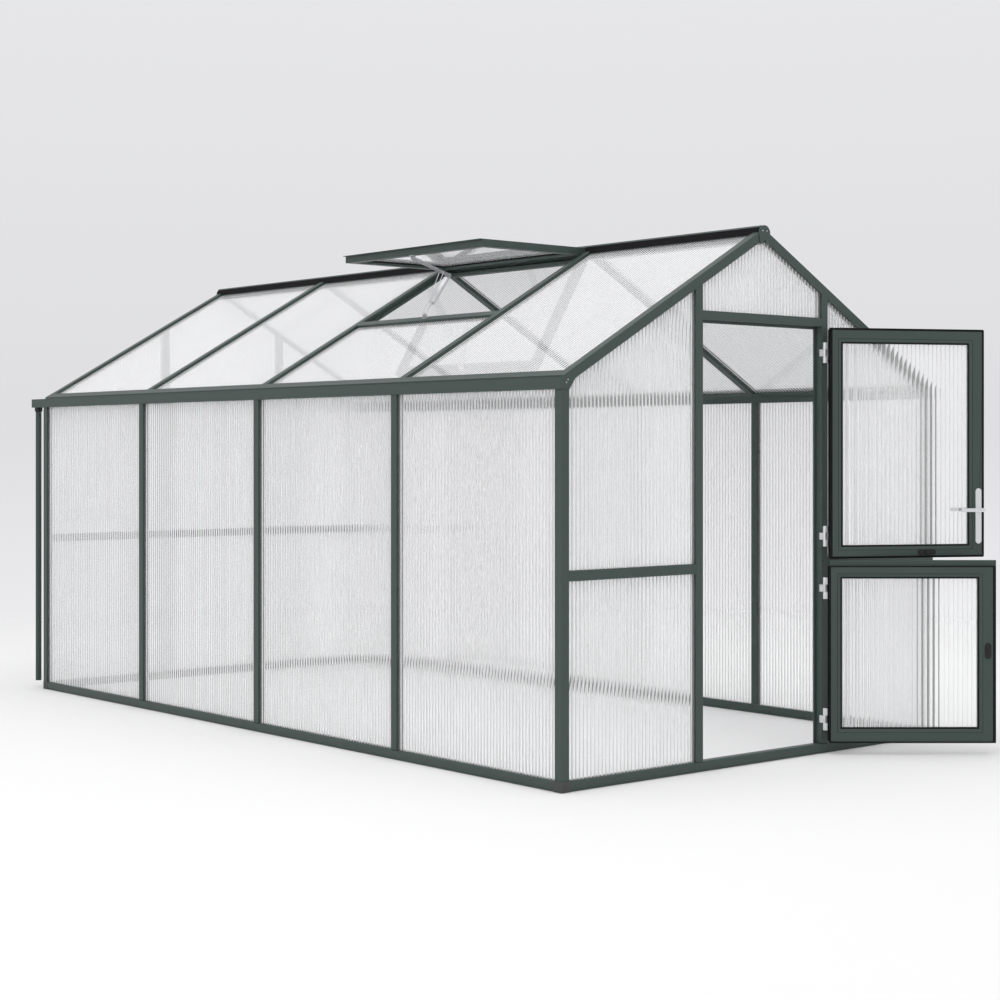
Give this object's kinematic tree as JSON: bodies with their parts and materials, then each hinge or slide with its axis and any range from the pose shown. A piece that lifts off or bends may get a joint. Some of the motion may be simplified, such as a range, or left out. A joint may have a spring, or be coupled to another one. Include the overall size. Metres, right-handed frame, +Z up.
{
  "type": "walk-in greenhouse",
  "caption": "Walk-in greenhouse: ridged roof, ribbed clear sheets in a metal frame, stable door, roof vent, gutters with downpipes.",
  "frame": {"origin": "middle of the front sill's underside, on the door's threshold", "axes": "+X right along the front gable seen from outside, +Y from the front gable to the back one, +Z up"},
  "size_m": [2.318, 4.9237, 2.2715],
  "materials": {
    "frame_paint": "satin dark green-grey powder coat on extruded aluminium",
    "ribbed_sheet": "clear ribbed twin-wall polycarbonate, glossy skins",
    "corner_plastic": "dark moulded plastic",
    "black_fitting": "black moulded plastic",
    "bright_fitting": "pale satin metal"
  },
  "bodies": {
    "house": {"sill_front": "frame_paint", "sill_back": "frame_paint", "sill_left": "frame_paint", "sill_right": "frame_paint", "corner_posts": "frame_paint", "posts_left": "frame_paint", "posts_right": "frame_paint", "door_posts": "frame_paint", "back_posts": "frame_paint", "front_midrails": "frame_paint", "back_midrails": "frame_paint", "door_header": "frame_paint", "door_stops": "frame_paint", "eave_left": "frame_paint", "eave_right": "frame_paint", "eave_end_plates": "frame_paint", "downpipes": "frame_paint", "ridge_beam": "frame_paint", "ridge_caps": "frame_paint", "rakes_front": "frame_paint", "rakes_back": "frame_paint", "rafters_left": "frame_paint", "rafters_right": "frame_paint", "vent_crossbar": "frame_paint", "vent_frame": "frame_paint", "wall_sheets_left": "ribbed_sheet", "wall_sheets_right": "ribbed_sheet", "roof_sheets_left": "ribbed_sheet", "roof_sheets_right": "ribbed_sheet", "front_sheets": "ribbed_sheet", "front_top_sheet": "ribbed_sheet", "back_sheets": "ribbed_sheet", "vent_sheet": "ribbed_sheet", "base_corners": "corner_plastic", "pipe_sockets": "black_fitting", "jamb_hinges": "bright_fitting", "vent_opener": "bright_fitting"},
    "lower_leaf": {"lower_leaf_frame": "frame_paint", "lower_leaf_sheet": "ribbed_sheet", "lower_leaf_hinges": "bright_fitting", "lower_leaf_catch": "black_fitting"},
    "upper_leaf": {"upper_leaf_frame": "frame_paint", "upper_leaf_sheet": "ribbed_sheet", "upper_leaf_hinges": "bright_fitting", "upper_leaf_catch": "black_fitting", "handle_plates": "bright_fitting"},
    "lever": {"lever_handle": "bright_fitting"}
  },
  "joints": [
    {"name": "lower_door_hinge", "type": "hinge", "parent": "house", "child": "lower_leaf", "pos_m": [0.378, -0.03, 0.45], "axis": [0, 0, 1], "range_deg": [-139.8, 25.2]},
    {"name": "upper_door_hinge", "type": "hinge", "parent": "house", "child": "upper_leaf", "pos_m": [0.378, -0.03, 1.35], "axis": [0, 0, 1], "range_deg": [-152.3, 12.7]},
    {"name": "lever_turn", "type": "hinge", "parent": "upper_leaf", "child": "lever", "pos_m": [0.99105, -0.37896, 1.057], "axis": [-0.4648, -0.8854, 0], "range_deg": [0, 35], "stiffness_Nm_per_rad": 2, "springref_deg": -17.19}
  ]
}
